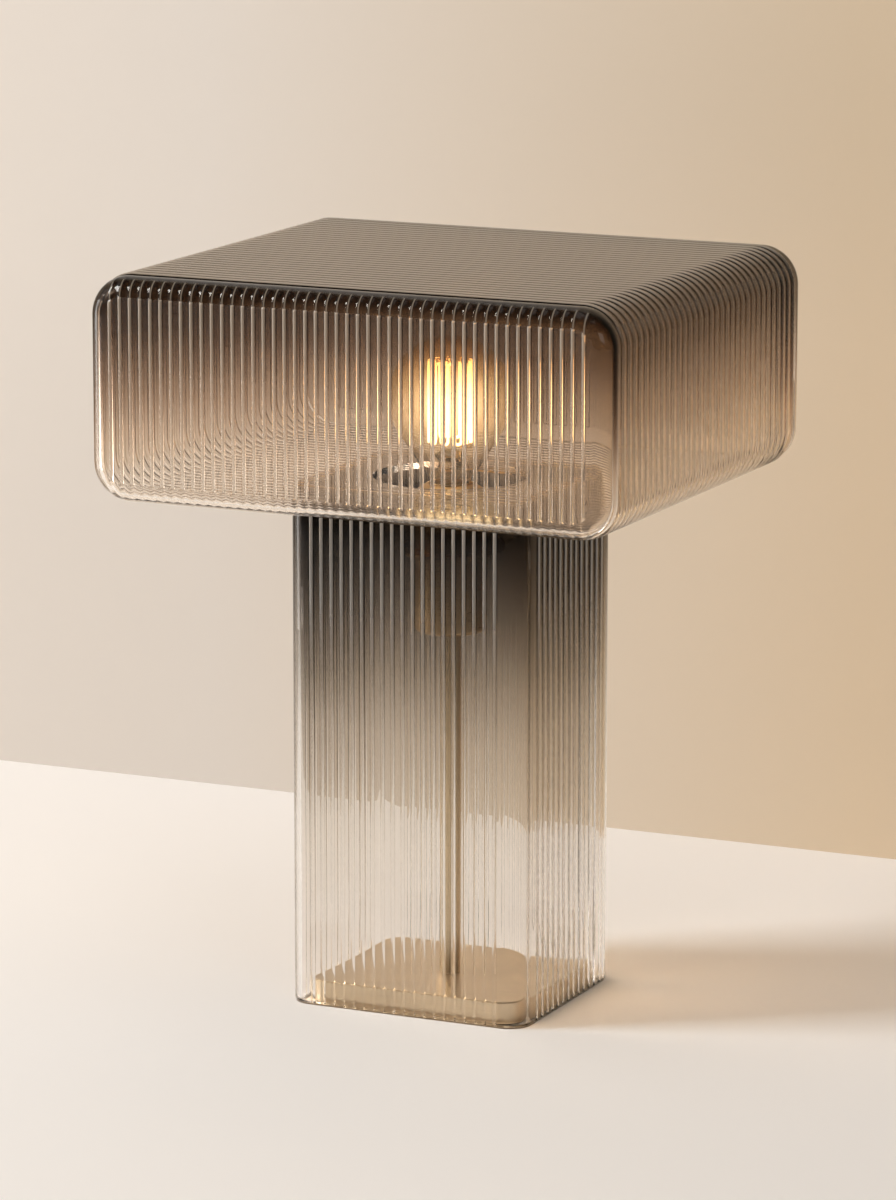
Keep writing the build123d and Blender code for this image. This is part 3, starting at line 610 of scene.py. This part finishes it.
def buildColumn():
    s = columnSizes
    flatX, flatY = s["width"] - 2 * s["corner"], s["depth"] - 2 * s["corner"]
    frontPlaces = beadPlaces(flatX, s["frontPitch"], s["beadRadius"], s["beadHeight"])
    sidePlaces = beadPlaces(flatY, s["sidePitch"], s["beadRadius"], s["beadHeight"])
    outline = []  # place, outward, bead values
    notch = s["notchRadius"]
    for quarter in range(4):
        turn = Matrix.Rotation(quarter * math.pi / 2, 2)
        front = quarter % 2 == 0
        places, count, shift = frontPlaces if front else sidePlaces
        pitch = s["frontPitch"] if front else s["sidePitch"]
        half = s["depth"] / 2 if front else s["width"] / 2
        if quarter == 2:  # the notch for the cord at the back
            places = sorted([p for p in places if abs(abs(p) - notch) > 0.15]
                            + [-notch, -notch + 0.01, notch - 0.01, notch])
        out = turn @ Vector((0.0, -1.0))
        for place in places:
            spot = turn @ Vector((place, -half))
            outline.append((spot, out, beadValues(place, count, pitch, shift)))
        centre = Vector(((flatX if front else flatY) / 2, -half + s["corner"]))
        for step in range(1, 12):
            angle = math.radians(-90 + 90 * step / 12)
            arm = Vector((math.cos(angle), math.sin(angle)))
            outline.append((turn @ (centre + arm * s["corner"]), turn @ arm, (0.0, 1.0, 0.0)))
    lip, wall = s["lip"], s["wall"]
    arc = [math.pi / 2 * step / 4 for step in range(5)]
    lipArc = [(lip * (1 - math.sin(a)), lip * (1 - math.cos(a)), math.sin(a)) for a in arc]
    shares = (0.2, 0.4, 0.6, 0.8)
    # inset, where its height is measured from, that height, and how far the beads stand out
    stations = [(inset, "low", rise, raised) for inset, rise, raised in lipArc]
    stations += [(0.0, "share", share, 1.0) for share in shares]
    stations += [(inset, "high", rise, raised) for inset, rise, raised in reversed(lipArc)]
    stations += [(wall - inset, "high", rise, 0.0) for inset, rise, raised in lipArc]
    stations += [(wall, "share", share, 0.0) for share in reversed(shares)]
    stations += [(wall - inset, "low", rise, 0.0) for inset, rise, raised in reversed(lipArc)]

    skin = emptyWall()
    for spot, out, (value, pitch, on) in outline:
        bottom = s["bottom"]
        if out.y > 0.99 and abs(spot.x) < notch - 0.005:
            bottom = s["notchAxis"] + math.sqrt(max(0.0, notch ** 2 - spot.x ** 2))
        for inset, kind, amount, raised in stations:
            z = {"low": bottom + amount, "high": s["top"] - amount,
                 "share": bottom + (s["top"] - bottom) * amount}[kind]
            flat = spot - out * inset
            addPoint(skin, (flat.x, flat.y, z), (out.x, out.y, 0.0), value, pitch, on * raised,
                     on if raised > 0 else 0.0)
    rows, columns = len(stations), len(outline)
    faces = []
    for i in range(columns):
        after = (i + 1) % columns
        for j in range(rows):
            above = (j + 1) % rows
            faces.append((i * rows + j, after * rows + j, after * rows + above, i * rows + above))
    return beadedPiece("columnWall", skin, faces, s["beadRadius"], s["beadHeight"], columnGlass, 50)


columnWall = buildColumn()
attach(columnWall, "column")
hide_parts("column_glass")
print("column wall,", len(columnWall.data.polygons), "faces")


# Shade band: rings of beads round a rounded rectangle, with the round opening in its underside
shadeSizes = {
    "width": 355.6, "depth": 317.6, "height": 142.6, "middle": 407.5, "corner": 25.0, "roll": 12.0,
    "straight": 1.0, "wall": 4.0, "panelPitch": 7.14, "beadRadius": 1.4, "ringPitch": 8.7,
    "ringRadius": 2.4, "beadHeight": 1.2, "openingRadius": 50.0, "ribEnd": 1.4,
}


def buildBand():
    s = shadeSizes
    length = s["depth"] - 2 * (s["roll"] + s["straight"])
    places, count, shift = beadPlaces(length, s["ringPitch"], s["ringRadius"], s["beadHeight"], 10)
    flatX, flatZ = s["width"] - 2 * s["corner"], s["height"] - 2 * s["corner"]
    path = []  # place in X and Z, outward
    for quarter in range(4):
        turn = Matrix.Rotation(quarter * math.pi / 2, 2)
        wide = quarter % 2 == 0
        run = flatX if wide else flatZ
        half = s["height"] / 2 if wide else s["width"] / 2
        out = turn @ Vector((0.0, -1.0))
        steps = 12 if wide else 4
        for step in range(steps + 1):
            path.append((turn @ Vector((-run / 2 + run * step / steps, -half)), out))
        centre = Vector((run / 2, -half + s["corner"]))
        for step in range(1, 16):
            angle = math.radians(-90 + 90 * step / 16)
            arm = Vector((math.cos(angle), math.sin(angle)))
            path.append((turn @ (centre + arm * s["corner"]), turn @ arm))
    skin = emptyWall()
    for spot, out in path:
        outward = (out.x, 0.0, out.y)
        paintedLight = 0.3 + 0.7 * max(0.0, out.y) ** 2  # the painted highlight and painted groove shade on the rings are strongest on the top, where light falls most
        for place in places:
            value, pitch, on = beadValues(place, count, s["ringPitch"], shift)
            addPoint(skin, (spot.x, place, s["middle"] + spot.y), outward, value, pitch, on, on * paintedLight)
        inner = spot - out * s["wall"]
        for place in reversed(places):
            addPoint(skin, (inner.x, place, s["middle"] + inner.y), outward)
    rows, columns = 2 * len(places), len(path)
    faces = []
    for i in range(columns):
        after = (i + 1) % columns
        for j in range(rows):
            above = (j + 1) % rows
            faces.append((i * rows + j, i * rows + above, after * rows + above, after * rows + j))
    piece = beadedPiece("shadeBand", skin, faces, s["ringRadius"], s["beadHeight"], shadeGlass)

    low = s["middle"] - s["height"] / 2
    sides, radius = 96, s["openingRadius"]
    angles = [2 * math.pi * k / sides for k in range(sides)]
    ring = [(radius * math.cos(angle), radius * math.sin(angle)) for angle in angles]
    cutterPoints = [(x, y, low - 6) for x, y in ring] + [(x, y, low + 9) for x, y in ring]
    cutterFaces = [tuple(reversed(range(sides))), tuple(range(sides, 2 * sides))]
    cutterFaces += [(k, (k + 1) % sides, sides + (k + 1) % sides, sides + k) for k in range(sides)]
    cutter = meshPiece("openingCutter", cutterPoints, cutterFaces)
    cut = piece.modifiers.new("opening", "BOOLEAN")
    cut.operation = "DIFFERENCE"
    cut.solver = "EXACT"
    cut.object = cutter
    makePlain(piece, 50)
    bpy.data.objects.remove(cutter)
    return piece


shadeBand = buildBand()
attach(shadeBand, "shade")
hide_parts("shade_band")
print("shade band,", len(shadeBand.data.polygons), "faces")


# Front or back wall of the shade: a flat ribbed field inside a rolled edge
def buildPanel(name, side):
    s = shadeSizes
    halfW, halfH = s["width"] / 2, s["height"] / 2
    corner, roll, wall = s["corner"], s["roll"], s["wall"]
    face = s["depth"] / 2
    seam = face - roll - s["straight"]
    flatWidth = s["width"] - 2 * roll
    places, count, shift = beadPlaces(flatWidth, s["panelPitch"], s["beadRadius"], s["beadHeight"])
    rolled = [roll * math.sin(math.pi / 2 * step / 12) for step in range(1, 13)]
    right = [flatWidth / 2 + r for r in rolled]
    columns = [-x for x in reversed(right)] + places + right
    inner = halfH - roll
    ends = [inner - d for d in (0.0, 0.15, 0.4, 0.8, s["ribEnd"], 2.2, 3.5)]  # close together at bead ends
    even = [ends[-1] - k * ends[-1] / 8 for k in range(1, 9)]
    heights = [inner + r for r in rolled] + ends + even
    rows = sorted(set([-h / halfH for h in heights] + [h / halfH for h in heights]))

    def surface(x, z):
        # place, outward and how far inside the rolled edge a spot lies
        overX, overZ = abs(x) - (halfW - corner), abs(z) - (halfH - corner)
        signX, signZ = math.copysign(1.0, x), math.copysign(1.0, z)
        if overX > 0 and overZ > 0:
            reach = math.hypot(overX, overZ)
            depth, lean = corner - reach, (signX * overX / reach, signZ * overZ / reach)
        elif overX > 0:
            depth, lean = halfW - abs(x), (signX, 0.0)
        elif overZ > 0:
            depth, lean = halfH - abs(z), (0.0, signZ)
        else:
            depth, lean = min(halfW - abs(x), halfH - abs(z)), (0.0, 0.0)
        over = min(1.0, max(0.0, (roll - depth) / roll))
        flat = math.sqrt(max(0.0, 1.0 - over * over))
        out = Vector((lean[0] * over, -flat, lean[1] * over))
        return Vector((x, -face + roll - roll * flat, z)), out, depth - roll

    skin, inside = emptyWall(), []
    foot = math.sqrt(s["beadRadius"] ** 2 - (s["beadRadius"] - s["beadHeight"]) ** 2) * mm
    for x in columns:
        extent = halfH
        if abs(x) > halfW - corner:
            extent = halfH - corner + math.sqrt(max(0.0, corner ** 2 - (abs(x) - halfW + corner) ** 2))
        for row in rows:
            spot, out, depth = surface(x, row * extent)
            value, pitch, on = beadValues(x, count, s["panelPitch"], shift)
            t = min(1.0, max(0.0, depth / s["ribEnd"]))
            steep = out.y > -0.42  # last part of the roll, darkened with painted shade like a groove
            if steep or not on:
                value, pitch, on = (foot if steep else 9 * foot), 1.0, 0.0
            raised = on * max(0.1, math.sqrt(1.0 - (1.0 - t) ** 2))  # round end, then a low trace
            shown = 1.0 if steep else on * (1.0 if depth > 0 else 0.5)
            narrow = 1.0 if depth > 0 or not on else 3.2
            addPoint(skin, spot, out, value, pitch, raised, shown, narrow)
            inside.append(spot - out * wall)
    many, tall = len(columns), len(rows)
    total = many * tall
    faces = [(i * tall + j, (i + 1) * tall + j, (i + 1) * tall + j + 1, i * tall + j + 1)
             for i in range(many - 1) for j in range(tall - 1)]
    faces += [tuple(total + k for k in reversed(f)) for f in faces]
    edge = ([i * tall for i in range(many)] + [(many - 1) * tall + j for j in range(1, tall)]
            + [i * tall + tall - 1 for i in range(many - 2, -1, -1)] + [j for j in range(tall - 2, 0, -1)])
    outerRim, innerRim = 2 * total, 2 * total + len(edge)
    outer, still = list(skin["point"]), Vector((0.0, 0.0, 0.0))
    for spot in inside:
        addPoint(skin, spot, still)
    # the rims at the seam take the full painted groove shade, a dark line where the panel meets the band
    for line in (outer, inside):
        for k in edge:
            addPoint(skin, Vector((line[k].x, -seam, line[k].z)), still, across=foot, shown=1.0)
    for k in range(len(edge)):
        after = (k + 1) % len(edge)
        a, b = edge[k], edge[after]
        faces.append((b, a, outerRim + k, outerRim + after))
        faces.append((outerRim + after, outerRim + k, innerRim + k, innerRim + after))
        faces.append((innerRim + after, innerRim + k, total + a, total + b))
    if side > 0:
        faces = [tuple(reversed(f)) for f in faces]
    skin["point"] = [(p.x, -side * p.y, p.z + s["middle"]) for p in skin["point"]]
    skin["outward"] = [(v.x, -side * v.y, v.z) for v in skin["outward"]]
    return beadedPiece(name, skin, faces, s["beadRadius"], s["beadHeight"], shadeGlass, 50)


for name, node, side in (("shadeFront", "shade_front_panel", -1), ("shadeBack", "shade_back_panel", 1)):
    panel = buildPanel(name, side)
    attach(panel, "shade")
    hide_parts(node)
print("shade panels,", len(panel.data.polygons), "faces each")


# Bulb glass: a thin blown wall turned round the axis
bulbSizes = {
    "radius": 40.0, "centre": 390.5, "wall": 0.8, "neck": 11.7, "neckBottom": 328.0,
    "neckTop": 336.5, "shoulder": 14.3, "shoulderHeight": 338.7, "steps": 96,
}


def buildBulb():
    s = bulbSizes

    def outline(inset):
        ball, shoulder = s["radius"] - inset, s["shoulder"] - inset
        drop = s["centre"] - s["shoulderHeight"]
        reach, lean = math.hypot(shoulder, drop), math.atan2(shoulder, drop)
        low = lean - math.asin(ball / reach)
        line = [(s["neck"] - inset, s["neckBottom"] + inset), (s["neck"] - inset, s["neckTop"] - 0.6),
                (s["neck"] - inset + 0.25, s["neckTop"]), (shoulder - 0.8, s["shoulderHeight"] - 0.7),
                (shoulder, s["shoulderHeight"])]
        touch = (ball * math.cos(low), s["centre"] + ball * math.sin(low))
        line += [(shoulder + (touch[0] - shoulder) * k / 4, s["shoulderHeight"]
                  + (touch[1] - s["shoulderHeight"]) * k / 4) for k in range(1, 4)]
        for step in range(48):
            angle = low + (math.pi / 2 - low) * step / 48
            line.append((ball * math.cos(angle), s["centre"] + ball * math.sin(angle)))
        return line, s["centre"] + ball

    outer, outerTop = outline(0.0)
    inner, innerTop = outline(s["wall"])
    steps = s["steps"]
    points, faces = [], []
    angles = [2 * math.pi * k / steps for k in range(steps)]
    for radius, height in outer + inner:
        points += [(radius * math.cos(angle), radius * math.sin(angle), height) for angle in angles]
    size = len(outer) * steps
    for j in range(len(outer) - 1):
        for k in range(steps):
            n = (k + 1) % steps
            quad = (j * steps + k, j * steps + n, (j + 1) * steps + n, (j + 1) * steps + k)
            faces.append(quad)
            faces.append(tuple(size + v for v in reversed(quad)))
    top = len(points)
    points += [(0, 0, outerTop), (0, 0, innerTop)]
    last = (len(outer) - 1) * steps
    for k in range(steps):
        n = (k + 1) % steps
        faces.append((last + k, last + n, top))
        faces.append((size + last + n, size + last + k, top + 1))
        faces.append((n, k, size + k, size + n))  # the rim of the neck
    piece = meshPiece("bulbGlobe", points, faces, 60)
    piece.data.materials.append(bulbGlass)
    return piece


bulbGlobe = buildBulb()
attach(bulbGlobe, "bulb")
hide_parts("bulb_globe")


# Filament: one wire that runs up and down round a cage
filamentSizes = {"cage": 14.0, "low": 362.5, "high": 414.0, "uprights": 20, "wire": 0.9, "bend": 1.9}


def buildFilament():
    s = filamentSizes
    count = s["uprights"]
    path = []
    for index in range(count):
        angle = 2 * math.pi * index / count
        x, y = s["cage"] * math.cos(angle) * mm, s["cage"] * math.sin(angle) * mm
        ends = [s["low"] * mm, s["high"] * mm]
        for height in (ends if index % 2 == 0 else reversed(ends)):
            path.append((x, y, height))
    mesh = bpy.data.meshes.new("filamentWire")
    mesh.from_pydata(path, [(k, k + 1) for k in range(len(path) - 1)], [])
    piece = bpy.data.objects.new("filamentWire", mesh)
    scene.collection.objects.link(piece)
    addModifierTree(piece, wireTree, {
        "Wire Radius": s["wire"] * mm, "Bend Radius": s["bend"] * mm, "Material": hotFilament})
    makePlain(piece)
    piece.data.shade_smooth()
    return piece


filamentWire = buildFilament()
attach(filamentWire, "bulb")
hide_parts("bulb_filament")
print("bulb made")


# Floor, wall, lamps and camera; colours and watts
stage = {
    "floor": (0.92, 0.885, 0.85), "wall": (0.68, 0.62, 0.56), "wallPlace": 0.44, "reach": 6.0,
    "backdrop": (0.76, 0.68, 0.58, 1.0), "mirrored": (0.085, 0.07, 0.055), "window": (0.8, 0.78, 0.74),
}
lights = {"key": 172.0, "fill": 10.0, "top": 7.0, "edge": 4.0, "room": 0.2}
view = {"azimuth": 24.873, "elevation": 11.67, "lens": 165.6, "place": (1.45847, -3.15113, 0.97561)}


def plainSheet(name, corners, material):
    mesh = bpy.data.meshes.new(name)
    mesh.from_pydata(corners, [], [(0, 1, 2, 3)])
    sheet = bpy.data.objects.new(name, mesh)
    scene.collection.objects.link(sheet)
    mesh.materials.append(material)


def paleSurface(name, colour):
    material, tree, shader = newFinish(name)
    shader.inputs["Base Color"].default_value = (*colour, 1.0)
    shader.inputs["Roughness"].default_value = 0.9
    shader.inputs["Specular IOR Level"].default_value = 0.2
    return material


def paleWall(colour):
    # painted light: the wall is warmer towards the right, as under warm light, and falls off to painted
    # shade at both sides; it is seen from the front only
    material = paleSurface("paleWall", colour)
    tree = material.node_tree
    shader = tree.nodes["Principled BSDF"]
    behind = tree.nodes.new("ShaderNodeNewGeometry")
    clear = tree.nodes.new("ShaderNodeBsdfTransparent")
    showSurface(tree, mixShaders(tree, behind.outputs["Backfacing"], shader.outputs["BSDF"],
                                 clear.outputs["BSDF"]))
    warmLitColour = (colour[0], colour[1] * 0.88, colour[2] * 0.70)
    dark = tuple(c * 0.4 for c in warmLitColour)
    along = remap(tree, placeAlong(tree, "X"), 0.0, 1.0, -2.2, 1.8)
    tree.links.new(ramp(tree, along, [
        (0.0, dark), (0.25, dark), (0.38, colour), (0.45, colour), (0.58, warmLitColour), (0.62, warmLitColour),
        (0.74, dark)]), shader.inputs["Base Color"])
    return material


reach, back = stage["reach"], stage["wallPlace"]
plainSheet("floor", [(-reach, -reach, 0), (reach, -reach, 0), (reach, reach, 0), (-reach, reach, 0)],
           paleSurface("paleFloor", stage["floor"]))
plainSheet("backWall", [(-reach, back, 0), (reach, back, 0), (reach, back, 5), (-reach, back, 5)],
           paleWall(stage["wall"]))


def softLamp(name, place, target, size, power, colour):
    data = bpy.data.lights.new(name, "AREA")
    data.shape = "RECTANGLE"
    data.size, data.size_y = size
    data.energy = power
    data.color = colour
    lamp = bpy.data.objects.new(name, data)
    scene.collection.objects.link(lamp)
    lamp.location = place
    lamp.rotation_euler = (Vector(target) - Vector(place)).to_track_quat("-Z", "Y").to_euler()
    return lamp


softLamp("keyLamp", (-3.3, -1.87, 2.42), (0, 0, 0.25), (1.25, 1.8), lights["key"], (1.0, 0.985, 0.965))
softLamp("fillLamp", (2.4, -2.2, 1.6), (0, 0, 0.3), (1.2, 1.2), lights["fill"], (1.0, 0.97, 0.93))
softLamp("topLamp", (0.2, -0.6, 2.4), (0, 0, 0.3), (1.4, 1.4), lights["top"], (1.0, 0.985, 0.965))

# A tall narrow strip that only glass and metal mirror, for the bright lines along the rolled edges
edgeLamp = softLamp("edgeLamp", (-1.2, -0.35, 0.3), (0, 0, 0.3), (0.3, 0.7), lights["edge"],
                    (1.0, 0.99, 0.97))
edgeLamp.visible_diffuse = False
edgeLamp.visible_camera = False


# The room: plain behind the lamp, dim with one wide bright window to the left in mirrors and glass
def lightRoom():
    world = bpy.data.worlds.new("room")
    scene.world = world
    world.use_nodes = True
    tree = world.node_tree
    path = tree.nodes.new("ShaderNodeLightPath")
    leftward = calc(tree, "MULTIPLY", placeAlong(tree, "X", "Generated"), -1.0)
    mirrored = ramp(tree, remap(tree, leftward, 0.0, 1.0, 0.62, 0.72, smooth=True), [
        (0.0, stage["mirrored"]), (1.0, stage["window"])])
    camera = path.outputs["Is Camera Ray"]
    shown = mixColours(tree, camera, mirrored, stage["backdrop"])
    seen = calc(tree, "MAXIMUM", path.outputs["Is Glossy Ray"], path.outputs["Is Transmission Ray"])
    level = lights["room"]
    diffuse = (level, level * 0.97, level * 0.93, 1.0)
    lit = mixColours(tree, calc(tree, "MAXIMUM", seen, camera), diffuse, shown)
    tree.links.new(lit, tree.nodes["Background"].inputs["Color"])


lightRoom()

scene.view_settings.view_transform = "Standard"
scene.cycles.max_bounces = 24
scene.cycles.transmission_bounces = 24
scene.cycles.transparent_max_bounces = 24
scene.cycles.glossy_bounces = 8


def aimCamera():
    azimuth, elevation = math.radians(view["azimuth"]), math.radians(view["elevation"])
    level = math.cos(elevation)
    forward = Vector((-math.sin(azimuth) * level, math.cos(azimuth) * level, -math.sin(elevation)))
    right = Vector((math.cos(azimuth), math.sin(azimuth), 0.0))
    camera = bpy.data.objects.new("camera", bpy.data.cameras.new("camera"))
    scene.collection.objects.link(camera)
    camera.data.lens = view["lens"]
    camera.data.sensor_width = 36.0
    camera.data.clip_start, camera.data.clip_end = 0.1, 50.0
    camera.location = view["place"]
    camera.rotation_euler = Matrix((right, right.cross(forward), -forward)).transposed().to_euler()
    scene.camera = camera


aimCamera()

print("stage, lamps and camera set")
